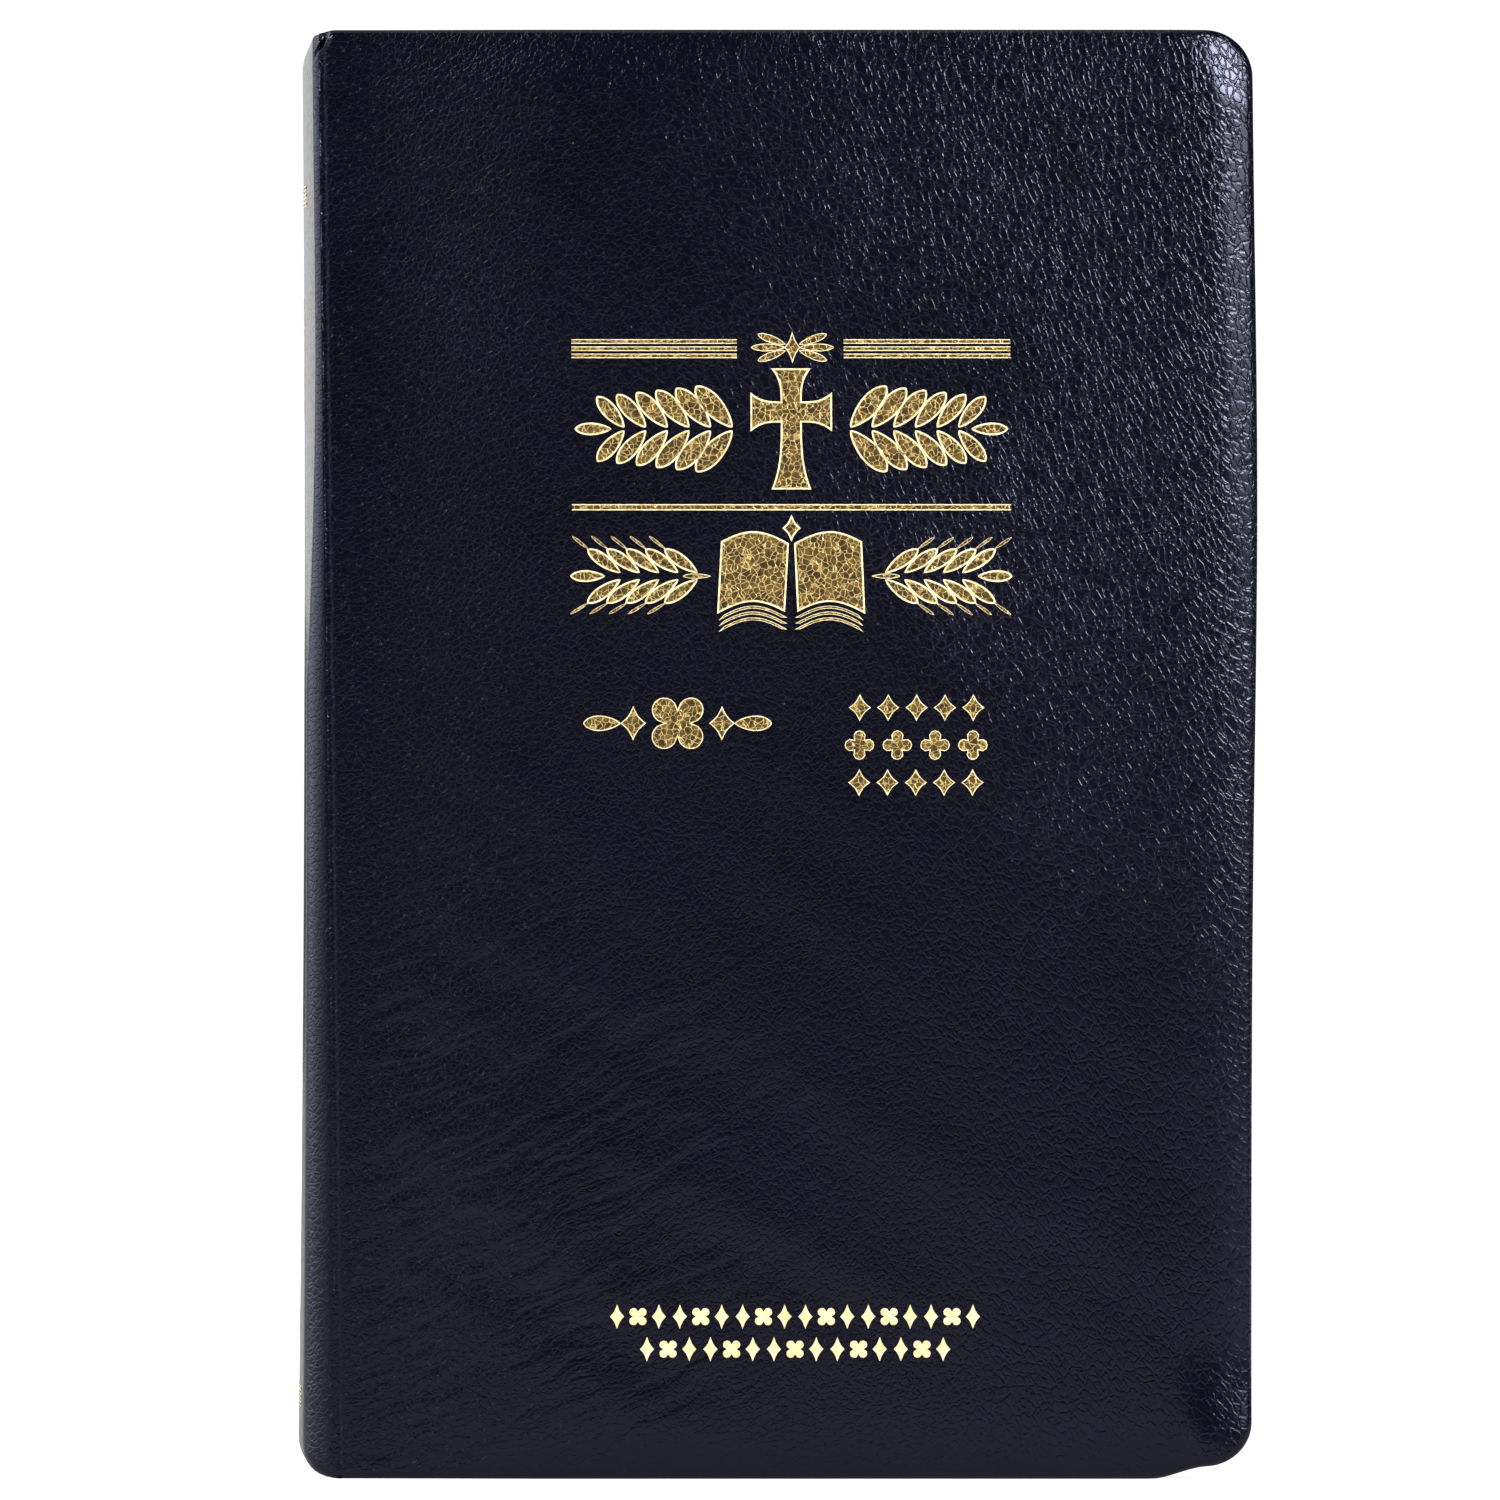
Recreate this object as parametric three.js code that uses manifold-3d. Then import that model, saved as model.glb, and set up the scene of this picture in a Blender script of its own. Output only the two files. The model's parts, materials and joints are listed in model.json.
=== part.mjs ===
// A limp leather bible standing closed on its tail edge. Millimetres, +Z towards the head,
// the front cover faces -Y, the spine is at -X and the fore edge at +X. The origin is the
// middle of the tail face. The covers turn about the leather joints beside the spine, and
// the sections of the text block turn about the two shoulders of the sewn back.

import * as THREE from 'three';
import { mergeVertices } from 'three/addons/utils/BufferGeometryUtils.js';
import Module from 'manifold-3d';

const wasm = await Module();
wasm.setup();

// Outside of the closed book
const BOOK_WIDTH = 155;
const BOOK_THICKNESS = 42;
const BOOK_HEIGHT = 236;
const SPINE_DEPTH = 7;            // from the back of the spine to the two leather joints
const HEAD_CORNER_RADIUS = 7.5;   // cover corner, fore edge at the head
const TAIL_CORNER_RADIUS = 6;

// Cover, counted inwards from its outer face
const LEATHER = 0.9;
const TURNED_EDGE_ROUND = 0.6;    // rounding where the leather is turned over the board
const BOARD_FACE = 0.95;
const BOARD_BACK = 1.75;
const TURN_IN_FACE = 1.8;
const TURN_IN_BACK = 2.2;
const TURN_IN_WIDTH = 14;
const PASTEDOWN_FACE = 2.26;
const PASTEDOWN_BACK = 2.4;
const FLYLEAF_FACE = 2.5;
const FLYLEAF_BACK = 2.64;
const BLOCK_FACE = 2.75;

const JOINT_SLIT = 0.35;          // half the hinge line left open between cover and spine
const BOARD_FROM_JOINT = 2;
const PASTEDOWN_FROM_JOINT = 1.2;
const SQUARE = 3.5;               // how far the cover stands past the leaves
const BOARD_INSET = LEATHER + 0.1;

// Text block
const SECTIONS_PER_HALF = 16;
const SECTION_GAP = 0.07;
const LEAF_CORNER_RADIUS = 6;
const FOLD_FROM_JOINT = 1;        // the shoulder line where the leaves start to turn
const FOLD_CLEARANCE = 0.3;
const BACK_ROUND = 3.3;           // how far the sewn back bulges past its shoulders
const BACK_HALF_WIDTH = 17.4;     // the round of the back, inside the two shoulders
const SHOULDER_FROM_JOINT = 0.1;
const FORE_EDGE_HOLLOW = 3;       // the fore edge is hollow by about as much

// Layers behind the sewn back: [how far inside the spine's outer curve, thickness]
const SPINE_LEATHER = [0, 1.2];
const SPINE_INLAY = [1.25, 0.6];
const INLAY_MARGIN = 3;           // the leather is turned in over the ends of the inlay
const HOLLOW_TUBE = [1.95, 1.15];
const HOLLOW_PLY = 0.35;
const MULL = [3.2, 0.25];
const MULL_MARGIN = 12;           // the cloth stops short of head and tail

// Sewing thread lying in shallow cuts across the folds
const THREAD = 0.5;
const THREAD_CUT = 0.8;
const THREAD_STATIONS = [18, 68, 118, 168, 218];

// Head and tail bands
const BAND_RADIUS = 0.9;
const BAND_ROUND = 1.9;
const BAND_HALF_LENGTH = 16.8;

const HALF_THICKNESS = BOOK_THICKNESS / 2;
const SPINE_BACK_X = -BOOK_WIDTH / 2;
const JOINT_X = SPINE_BACK_X + SPINE_DEPTH;
const FORE_EDGE_X = BOOK_WIDTH / 2;
const LEAF_FORE_X = FORE_EDGE_X - SQUARE;
const LEAF_TAIL = SQUARE;
const LEAF_HEAD = BOOK_HEIGHT - SQUARE;
const HALF_BLOCK = HALF_THICKNESS - BLOCK_FACE;
const ARC_STEPS = 6;
const ARCH_STEPS = 28;

const FRONT = -1;
const BACK = 1;

function finish(color, roughness, metalness = 0) {
  return new THREE.MeshStandardMaterial({ color, roughness, metalness });
}

const LEATHER_FINISH = finish(0x15161f, 0.45);
const BOARD_FINISH = finish(0x8f897d, 0.9);
const ENDPAPER_FINISH = finish(0xe9e3d4, 0.8);
const LEAF_FINISH = finish(0xd9b65f, 0.45, 0.5);
const FOLD_FINISH = finish(0xe7dfcb, 0.85);
const KRAFT_FINISH = finish(0xa9855a, 0.9);
const CLOTH_FINISH = finish(0xd8d4c6, 0.95);
const THREAD_FINISH = finish(0xf0ece0, 0.8);
const BAND_FINISH = finish(0xc9a13b, 0.7);

// A flat panel seen from the front: square at the spine side, round at the fore edge
function panelOutline(fromX, toX, tail, head, tailRadius, headRadius) {
  const outline = new THREE.Shape();
  outline.moveTo(fromX, tail);
  outline.lineTo(toX - tailRadius, tail);
  outline.absarc(toX - tailRadius, tail + tailRadius, tailRadius, -Math.PI / 2, 0);
  outline.absarc(toX - headRadius, head - headRadius, headRadius, 0, Math.PI / 2);
  outline.lineTo(fromX, head);
  return outline;
}

// A panel lying in a cover or in the block, between two depths under that side's outer face.
// The geometry is local to the hinge line that its group stands on.
function panel(side, outline, faceDepth, backDepth, round = 0) {
  const thickness = backDepth - faceDepth;
  const geometry = new THREE.ExtrudeGeometry(outline, {
    depth: thickness - 2 * round,
    curveSegments: ARC_STEPS,
    bevelEnabled: round > 0,
    bevelSize: round,
    bevelOffset: -round,
    bevelThickness: round,
    bevelSegments: 2,
  });
  geometry.translate(0, 0, round);
  geometry.rotateX(Math.PI / 2);
  const farthest = side === FRONT ? backDepth : -faceDepth;
  geometry.translate(0, farthest, 0);
  return geometry;
}

function toSolid(geometry) {
  const bare = geometry.clone();
  bare.deleteAttribute('normal');
  bare.deleteAttribute('uv');
  const merged = mergeVertices(bare, 1e-4);
  return new wasm.Manifold(new wasm.Mesh({
    numProp: 3,
    vertProperties: new Float32Array(merged.attributes.position.array),
    triVerts: new Uint32Array(merged.index.array),
  }));
}

function toGeometry(solid) {
  const mesh = solid.getMesh();
  const geometry = new THREE.BufferGeometry();
  geometry.setAttribute('position', new THREE.BufferAttribute(mesh.vertProperties, 3));
  geometry.setIndex(new THREE.BufferAttribute(mesh.triVerts, 1));
  geometry.computeVertexNormals();
  return geometry;
}

function cut(geometry, ...tools) {
  let solid = toSolid(geometry);
  for (const tool of tools) solid = solid.subtract(toSolid(tool));
  return toGeometry(solid);
}

function addNode(group, name, geometry, material) {
  const mesh = new THREE.Mesh(geometry, material);
  mesh.name = name;
  group.add(mesh);
  return mesh;
}

// Groups stand on the lines that their pieces turn about
function groupAt(x, y) {
  const group = new THREE.Group();
  group.position.set(x, y, 0);
  book.add(group);
  return group;
}

// Half an elliptical ring round the back of the book, as a solid between two heights.
// Depths are counted inwards from the spine's outer curve.
function archedLayer(depth, thickness, tail, head, endX = 0) {
  const outer = archPoints(depth, endX);
  const inner = archPoints(depth + thickness, endX).reverse();
  return upright(new THREE.Shape([...outer, ...inner]), tail, head);
}

function archPoints(depth, endX) {
  const bulge = SPINE_DEPTH - depth;
  const halfWidth = HALF_THICKNESS - depth;
  const start = Math.acos(endX / bulge);
  const curve = new THREE.EllipseCurve(0, 0, bulge, halfWidth, start, 2 * Math.PI - start);
  return curve.getPoints(ARCH_STEPS);
}

function upright(outline, tail, head) {
  const geometry = new THREE.ExtrudeGeometry(outline, { depth: head - tail, bevelEnabled: false });
  geometry.translate(0, 0, tail);
  return geometry;
}

// The leather case over one board, with its three edges turned in round the board
function coverLeather(side) {
  const width = FORE_EDGE_X - JOINT_X;
  const body = panel(
    side,
    panelOutline(JOINT_SLIT, width, 0, BOOK_HEIGHT, TAIL_CORNER_RADIUS, HEAD_CORNER_RADIUS),
    0, TURN_IN_BACK, TURNED_EDGE_ROUND,
  );
  const pastJoint = -1;
  const pocket = panel(
    side,
    panelOutline(
      pastJoint, width - LEATHER, LEATHER, BOOK_HEIGHT - LEATHER,
      TAIL_CORNER_RADIUS - LEATHER, HEAD_CORNER_RADIUS - LEATHER,
    ),
    LEATHER, TURN_IN_FACE,
  );
  const window = panel(
    side,
    panelOutline(
      pastJoint, width - TURN_IN_WIDTH, TURN_IN_WIDTH, BOOK_HEIGHT - TURN_IN_WIDTH,
      TAIL_CORNER_RADIUS, TAIL_CORNER_RADIUS,
    ),
    BOARD_BACK, TURN_IN_BACK + 1,
  );
  return cut(body, pocket, window);
}

function cover(side, name) {
  const group = groupAt(JOINT_X, side * HALF_THICKNESS);
  const width = FORE_EDGE_X - JOINT_X;
  const board = panelOutline(
    BOARD_FROM_JOINT, width - BOARD_INSET, BOARD_INSET, BOOK_HEIGHT - BOARD_INSET,
    TAIL_CORNER_RADIUS - BOARD_INSET, HEAD_CORNER_RADIUS - BOARD_INSET,
  );
  const pastedown = panelOutline(
    PASTEDOWN_FROM_JOINT, width - SQUARE, SQUARE, BOOK_HEIGHT - SQUARE,
    LEAF_CORNER_RADIUS, LEAF_CORNER_RADIUS,
  );
  addNode(group, `${name}_cover_leather`, coverLeather(side), LEATHER_FINISH);
  addNode(group, `${name}_cover_board`, panel(side, board, BOARD_FACE, BOARD_BACK), BOARD_FINISH);
  const paper = panel(side, pastedown, PASTEDOWN_FACE, PASTEDOWN_BACK);
  addNode(group, `${name}_pastedown`, paper, ENDPAPER_FINISH);
}

function leafOutline(toX) {
  const from = FOLD_FROM_JOINT + FOLD_CLEARANCE;
  return panelOutline(from, toX, LEAF_TAIL, LEAF_HEAD, LEAF_CORNER_RADIUS, LEAF_CORNER_RADIUS);
}

function flyleaf(side, name) {
  const group = groupAt(JOINT_X, side * HALF_THICKNESS);
  const geometry = panel(side, leafOutline(LEAF_FORE_X - JOINT_X), FLYLEAF_FACE, FLYLEAF_BACK);
  addNode(group, `${name}_flyleaf`, geometry, ENDPAPER_FINISH);
}

// One half of the text block. Section 1 lies under the front cover and the last one over
// the back cover, and each fore edge is set back to make the hollow of the whole edge.
function halfBlock(side) {
  const pitch = HALF_BLOCK / SECTIONS_PER_HALF;
  const group = groupAt(JOINT_X, side * HALF_THICKNESS);
  for (let i = 0; i < SECTIONS_PER_HALF; i += 1) {
    const face = BLOCK_FACE + i * pitch + SECTION_GAP / 2;
    const back = face + pitch - SECTION_GAP;
    const fromMiddle = 1 - (i + 0.5) / SECTIONS_PER_HALF;
    const foreX = LEAF_FORE_X - FORE_EDGE_HOLLOW * (1 - fromMiddle ** 2) - JOINT_X;
    const number = side === FRONT ? i + 1 : 2 * SECTIONS_PER_HALF - i;
    const name = `section_${String(number).padStart(2, '0')}`;
    addNode(group, name, panel(side, leafOutline(foreX), face, back), LEAF_FINISH);
  }
}

// The glued and sewn folds of all sections: round behind, with a shoulder at each side,
// and flat where the leaves begin
function foldBlock() {
  const outline = new THREE.Shape(backRound(0));
  outline.lineTo(SHOULDER_FROM_JOINT, -BACK_HALF_WIDTH);
  outline.lineTo(SHOULDER_FROM_JOINT, -HALF_BLOCK);
  outline.lineTo(FOLD_FROM_JOINT, -HALF_BLOCK);
  outline.lineTo(FOLD_FROM_JOINT, HALF_BLOCK);
  outline.lineTo(SHOULDER_FROM_JOINT, HALF_BLOCK);
  outline.lineTo(SHOULDER_FROM_JOINT, BACK_HALF_WIDTH);
  const body = upright(outline, LEAF_TAIL, LEAF_HEAD);
  const cuts = THREAD_STATIONS.map((z) => threadBand(z, 2, THREAD_CUT, THREAD_CUT));
  return cut(body, ...cuts);
}

function backRound(offset) {
  const curve = new THREE.EllipseCurve(
    0, 0, BACK_ROUND + offset, BACK_HALF_WIDTH + offset, Math.PI / 2, 1.5 * Math.PI,
  );
  return curve.getPoints(ARCH_STEPS);
}

// A flat band following the round of the sewn back, from outside it to some way in
function threadBand(z, outside, inside, height) {
  const outline = new THREE.Shape([...backRound(outside), ...backRound(-inside).reverse()]);
  return upright(outline, z - height / 2, z + height / 2);
}

// The kraft tube behind the mull: two plies joined at their long edges, open at head and tail
function hollowTube() {
  const [depth, thickness] = HOLLOW_TUBE;
  const body = archedLayer(depth, thickness, LEAF_TAIL, LEAF_HEAD);
  const inside = archedLayer(
    depth + HOLLOW_PLY, thickness - 2 * HOLLOW_PLY, LEAF_TAIL - 1, LEAF_HEAD + 1, -HOLLOW_PLY,
  );
  return cut(body, inside);
}

function endBand(z) {
  const path = new THREE.CatmullRomCurve3(
    new THREE.EllipseCurve(0, 0, BAND_ROUND, BAND_HALF_LENGTH, Math.PI / 2, 1.5 * Math.PI)
      .getPoints(ARC_STEPS * 2)
      .map((point) => new THREE.Vector3(point.x, point.y, z)),
  );
  const section = new THREE.Shape().absarc(0, 0, BAND_RADIUS, 0, 2 * Math.PI);
  return new THREE.ExtrudeGeometry(section, { steps: 24, curveSegments: 5, extrudePath: path });
}

function spine() {
  const group = groupAt(JOINT_X, 0);
  const bandRise = BAND_RADIUS + 0.1;
  const leather = archedLayer(...SPINE_LEATHER, 0, BOOK_HEIGHT, -JOINT_SLIT);
  const inlay = archedLayer(...SPINE_INLAY, INLAY_MARGIN, BOOK_HEIGHT - INLAY_MARGIN, -JOINT_SLIT);
  addNode(group, 'spine_leather', leather, LEATHER_FINISH);
  addNode(group, 'spine_inlay', inlay, BOARD_FINISH);
  addNode(group, 'hollow_tube', hollowTube(), KRAFT_FINISH);
  addNode(group, 'mull', archedLayer(...MULL, MULL_MARGIN, BOOK_HEIGHT - MULL_MARGIN), CLOTH_FINISH);
  addNode(group, 'sewn_folds', foldBlock(), FOLD_FINISH);
  THREAD_STATIONS.forEach((z, i) => {
    addNode(group, `sewing_thread_${i + 1}`, threadBand(z, -0.05, THREAD, THREAD), THREAD_FINISH);
  });
  addNode(group, 'head_band', endBand(LEAF_HEAD + bandRise), BAND_FINISH);
  addNode(group, 'tail_band', endBand(LEAF_TAIL - bandRise), BAND_FINISH);
}

const book = new THREE.Group();
spine();
cover(FRONT, 'front');
flyleaf(FRONT, 'front');
halfBlock(FRONT);
halfBlock(BACK);
flyleaf(BACK, 'back');
cover(BACK, 'back');

export default book;
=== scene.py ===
import json
import math

import bpy
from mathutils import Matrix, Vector, noise


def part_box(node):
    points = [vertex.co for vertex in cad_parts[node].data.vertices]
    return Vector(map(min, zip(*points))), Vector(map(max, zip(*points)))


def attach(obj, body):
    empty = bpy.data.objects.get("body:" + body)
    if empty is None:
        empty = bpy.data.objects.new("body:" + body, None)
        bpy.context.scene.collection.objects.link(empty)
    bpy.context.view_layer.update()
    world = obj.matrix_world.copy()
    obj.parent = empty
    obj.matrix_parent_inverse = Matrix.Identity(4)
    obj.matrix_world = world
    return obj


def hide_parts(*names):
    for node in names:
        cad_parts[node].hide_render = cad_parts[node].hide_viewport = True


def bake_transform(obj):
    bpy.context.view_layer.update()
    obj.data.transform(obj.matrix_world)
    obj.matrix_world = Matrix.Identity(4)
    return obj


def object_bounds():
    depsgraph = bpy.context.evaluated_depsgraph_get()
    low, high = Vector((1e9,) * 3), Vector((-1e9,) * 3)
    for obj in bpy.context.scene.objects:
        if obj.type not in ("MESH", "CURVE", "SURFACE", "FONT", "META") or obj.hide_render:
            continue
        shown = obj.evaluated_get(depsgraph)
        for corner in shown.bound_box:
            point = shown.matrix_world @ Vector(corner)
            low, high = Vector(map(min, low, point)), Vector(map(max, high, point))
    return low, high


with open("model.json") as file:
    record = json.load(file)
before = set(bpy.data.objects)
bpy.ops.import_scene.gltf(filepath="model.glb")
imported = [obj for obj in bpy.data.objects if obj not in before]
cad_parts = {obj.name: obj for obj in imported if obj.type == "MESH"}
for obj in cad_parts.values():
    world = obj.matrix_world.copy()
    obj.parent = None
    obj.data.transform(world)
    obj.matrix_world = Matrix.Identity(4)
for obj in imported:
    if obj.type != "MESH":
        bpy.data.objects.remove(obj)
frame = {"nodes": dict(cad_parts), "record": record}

cad_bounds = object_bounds()
MM = 0.001


def in_mm(point):
    return Vector(point) / MM


# ---------------------------------------------------------------- sizes, from the frame
BOOK_LOW, BOOK_HIGH = (in_mm(corner) for corner in cad_bounds)
HALF = BOOK_HIGH.y
HEIGHT = BOOK_HIGH.z
BACK_X = BOOK_LOW.x
FORE_X = BOOK_HIGH.x
JOINTS = {joint["name"]: joint for joint in frame["record"]["behaviour"]["joints"]}
JOINT_X = JOINTS["front_cover_hinge"]["pos_m"][0] / MM
OPEN_ANGLE = math.radians(JOINTS["front_cover_hinge"]["range_deg"][1])
FACE_WIDTH = FORE_X - JOINT_X
SHOULDER_LINE = in_mm(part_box("sewn_folds")[1]).x
LEAF_LOW, LEAF_HIGH = (in_mm(corner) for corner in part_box("section_01"))
BLOCK_HALF = -LEAF_LOW.y
PASTEDOWN_LOW, PASTEDOWN_HIGH = (in_mm(corner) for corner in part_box("front_pastedown"))
SECTIONS = sorted(name for name in frame["nodes"] if name.startswith("section_"))

CASE_THICKNESS = in_mm(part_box("front_cover_leather")[1]).y + HALF
LEATHER = 0.8
EDGE_ROLL = CASE_THICKNESS / 2
CORNER = 7.5
TURN_IN = 14
SPINE_HALF = 23.4                # half the leather over the spine, laid flat
SHOULDER_AT_HEAD = 3.3
SHOULDER_AT_TAIL = 6.8
# The fold between cover and spine, as bends along the leather: (length, turned from, turned
# to) in degrees. At the head it is a narrow bevel and then steep, at the tail one wide round.
FOLD_AT_HEAD = ((0.2, 0, 30), (0.95, 30, 44), (0.35, 44, 76))
FOLD_AT_TAIL = ((2.6, 0, 26), (2.7, 26, 52), (2.4, 52, 78))
CAP_HEIGHTS = (5.9, 6.2)         # the leather is drawn in over the bands at head and tail
CAP_DIP = 0.8
TAIL_CORNER_LIFT = 2.1            # how far the fore corner at the tail is bent up
TAIL_CORNER_FORWARD = 1.7         # and forward
PAPER_CORNER = 6
PASTEDOWN_SINK = 0.28             # the paper sinks this far inside the edge of the turn-in
GRID_STEP = 1.35

FRONT, BACK = -1, 1
SIDE_NAMES = {FRONT: "front", BACK: "back"}


def clip(t, low=0.0, high=1.0):
    return max(low, min(high, t))


def ease(t):
    t = clip(t)
    return t * t * (3 - 2 * t)


def mix(a, b, t):
    return a + (b - a) * t


# ---------------------------------------------------------------- the shape of the limp case
def spine_bow(z):
    """The spine edge is a little hollow above the middle and stands out at the tail."""
    h = z / HEIGHT
    return -1.3 + 3.53 * h - 2.83 * h * h


def fore_edge_bow(z):
    return -0.35 + 0.95 * math.exp(-(((z - 160) / 55) ** 2))


def bow(x, z):
    return mix(spine_bow(z), fore_edge_bow(z), (x - BACK_X) / (FORE_X - BACK_X))


def shoulder(z):
    """How far the rounded spine reaches from the back to its crease."""
    return mix(SHOULDER_AT_HEAD, SHOULDER_AT_TAIL, (1 - clip(z / HEIGHT)) ** 1.7)


def cap(z):
    """How much of the spine's round is left where the leather is drawn in over the bands."""
    head, tail = CAP_HEIGHTS
    t = max((z - HEIGHT + head) / head, (tail - z) / tail, 0)
    return (1.001 - min(t, 1) ** 2.6) ** 0.45


def swell(x, z):
    """How far the cover stands out past a flat face: full in the middle, down at the edges."""
    fore = 1 - (1 - clip((FORE_X - x) / 15)) ** 2.4
    joint = ease((x - JOINT_X - 2) / 34)
    head = 1 - 0.35 * (1 - clip((HEIGHT - z) / 14)) ** 2
    tail = 1 - 0.35 * (1 - clip(z / 14)) ** 2
    return 2.0 * fore * joint * head * tail - droop(x, z)


def droop(x, z):
    """The limp fore edge hangs back, most of all towards the head corner."""
    share = mix(0.15, 1.0, ease((z - 90) / 130))
    edge = 1.3 * share * clip(1 - (FORE_X - x) / 7) ** 1.5
    corner = clip(1 - math.hypot(FORE_X - x, HEIGHT - z) / 12.5) ** 1.4
    return edge + 2.6 * corner


def wrinkle(x, z, side):
    """Slow waves all over, and long soft folds running down across the lower spine side."""
    seed = 3.7 * side
    slow = 0.42 * noise.noise(Vector((x / 62, z / 80, seed)))
    along = (x * 0.86 - z * 0.5) / 46
    across = (x * 0.5 + z * 0.86) / 9
    folds = noise.noise(Vector((along, across, seed + 5)))
    where = ease((40 - x) / 70) * ease((150 - z) / 90)
    edge = ease((x - JOINT_X) / 16) * ease((FORE_X - x) / 10) * ease(z / 8) * ease((HEIGHT - z) / 8)
    return edge * (slow + (0.05 + 0.13 * where) * folds)


def corner_lift(x, z):
    """The fore corner at the tail is bent forward and up."""
    across = ease((x - 61) / 9.5)
    return across * ease((26 - z) / 26)


def joint_crease(x, z):
    """A fine sunk line, not quite straight, where the cover bends at the joint."""
    waver = 0.25 * noise.noise(Vector((z / 5, 3, 8)))
    deep = 0.14 + 0.09 * noise.noise(Vector((z / 2.2, 9, 1)))
    return deep * math.exp(-(((x - 0.5 - waver) / 0.42) ** 2))


def pinch(x, z):
    """The small slanting fold where the crease meets the head."""
    across = (x - 0.45 - 0.6 * (z - HEIGHT + 1.9)) / 0.45
    fade = math.exp(-(((z - HEIGHT + 1.9) / 1.25) ** 2))
    ridges = 0.75 * math.exp(-((across - 1.2) ** 2)) + 0.6 * math.exp(-((across + 1.2) ** 2))
    return fade * (ridges - 0.8 * math.exp(-(across ** 2)))


def head_drop(x, z):
    """The leather comes down a little towards the crease at the head."""
    return 0.6 * ease((2.6 - x) / 3.2) * ease((z - HEIGHT + 12) / 12)


def bent(parts, inset, y):
    """Follow bends along the leather: each part is (length, turned from, turned to)."""
    for length, start, end in parts:
        radius = length / max(end - start, 1e-6)
        inset += radius * (math.sin(end) - math.sin(start))
        y += radius * (math.cos(start) - math.cos(end))
    return inset, y


def spine_round(share, z):
    """A point of the rounded spine, from its crease (share 0) to its middle (share 1): the
    fold at the joint, then one flat arc. Gives (inset from the crease, y, outward normal)."""
    width = shoulder(z) * cap(z)
    low = (shoulder(z) - SHOULDER_AT_HEAD) / (SHOULDER_AT_TAIL - SHOULDER_AT_HEAD)
    low = ease((low - 0.04) / 0.42)
    fold = [
        [mix(a, b, low) for a, b in zip(head, tail)]
        for head, tail in zip(FOLD_AT_HEAD, FOLD_AT_TAIL)
    ]
    fold = [(length, math.radians(start), math.radians(end)) for length, start, end in fold]
    scale = min(1, 0.85 * width / bent(fold, 0, 0)[0])
    fold = [(length * scale, start, end) for length, start, end in fold]
    for _ in range(4):
        inset, y = bent(fold, 0, 0)
        last = math.pi / 2 - 2 * math.atan((width - inset) / (HALF - y))
        fold[-1] = (fold[-1][0], fold[-1][1], max(last, fold[-1][1] + 0.05))
    inset, y = bent(fold, 0, 0)
    last = fold[-1][2]
    arc = (HALF - y) / math.cos(last) * (math.pi / 2 - last)
    parts = [*fold, (arc, last, math.pi / 2)]
    run = share * sum(length for length, _, _ in parts)
    done = []
    for length, start, end in parts:
        part = min(length, run)
        done.append((part, start, mix(start, end, part / length)))
        run -= part
        if run <= 1e-9:
            break
    inset, y = bent(done, 0, 0)
    turn = done[-1][2]
    return inset, y - HALF, Vector((-math.sin(turn), -math.cos(turn), 0))


def settle(x, depth, z, side):
    """Move a point of the cover, endpapers or leaves with the swell of the limp book."""
    share = clip((HALF - depth) / BLOCK_HALF) ** 2
    out = swell(x, z) + wrinkle(x, z, side)
    if side == FRONT:
        near_cover = clip(1 - (depth - CASE_THICKNESS) / 4)
        out += TAIL_CORNER_FORWARD * corner_lift(x, z) ** 2 * near_cover
    return share * out


def on_case(x, depth, z, side):
    """A point of the leather laid flat, on the case: x under 0 goes round the spine."""
    crease = BACK_X + shoulder(z)
    if x >= 0:
        place = Vector((crease + x * (FORE_X - crease) / FACE_WIDTH, depth - HALF, z))
        place.y -= settle(place.x, depth, z, side) - joint_crease(x, z)
    else:
        inset, y, outwards = spine_round(-x / SPINE_HALF, z)
        place = Vector((crease - inset, y, z)) - depth * outwards
        dip = CAP_DIP * ease(1 - (y / HALF) ** 2)
        place.z = dip + z * (1 - 2 * dip / HEIGHT)
    place.y -= pinch(x, z)
    place.z += TAIL_CORNER_LIFT * corner_lift(place.x, z) - head_drop(x, z)
    place.x += bow(place.x, z)
    return place


def in_block(x, depth, z, side):
    """A point of an endpaper or a leaf laid flat, with x from the joint line."""
    place = Vector((JOINT_X + x, depth - HALF, z))
    place.y -= settle(place.x, depth, z, side)
    if depth > CASE_THICKNESS:
        place.y -= leaf_wave(place.x, depth, z)
    place.z += TAIL_CORNER_LIFT * corner_lift(place.x, z) * clip(1 - (depth - CASE_THICKNESS) / 6)
    place.x += bow(place.x, z) * ease(x / 60)
    return place


def leaf_wave(x, depth, z):
    """Thin paper is never quite flat. Neighbouring leaves wave together."""
    far = ease((x - JOINT_X) / 60)
    return 0.25 * far * noise.noise(Vector((x / 55, z / 48, depth / 9)))


def lay(piece, placing, side=FRONT):
    """Take a flat piece to its place, mirrored for the back of the book, in metres."""
    for vertex in piece.data.vertices:
        place = placing(vertex.co.x, vertex.co.y, vertex.co.z, side)
        if side == BACK:
            place.y = -place.y
        vertex.co = place * MM
    if side == BACK:
        piece.data.flip_normals()
    piece.data.update()
    return piece


# ---------------------------------------------------------------- bench work
def only(piece):
    bpy.ops.object.select_all(action="DESELECT")
    piece.select_set(True)
    bpy.context.view_layer.objects.active = piece
    return piece


def named(name):
    """The primitive just added, with its place in its mesh."""
    piece = bpy.context.object
    piece.name = name
    piece.data.name = name
    only(piece)
    bpy.ops.object.transform_apply(location=True, rotation=True, scale=True)
    return piece


def smooth(piece, angle=40):
    only(piece)
    bpy.ops.object.shade_smooth_by_angle(angle=math.radians(angle))
    return piece


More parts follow.
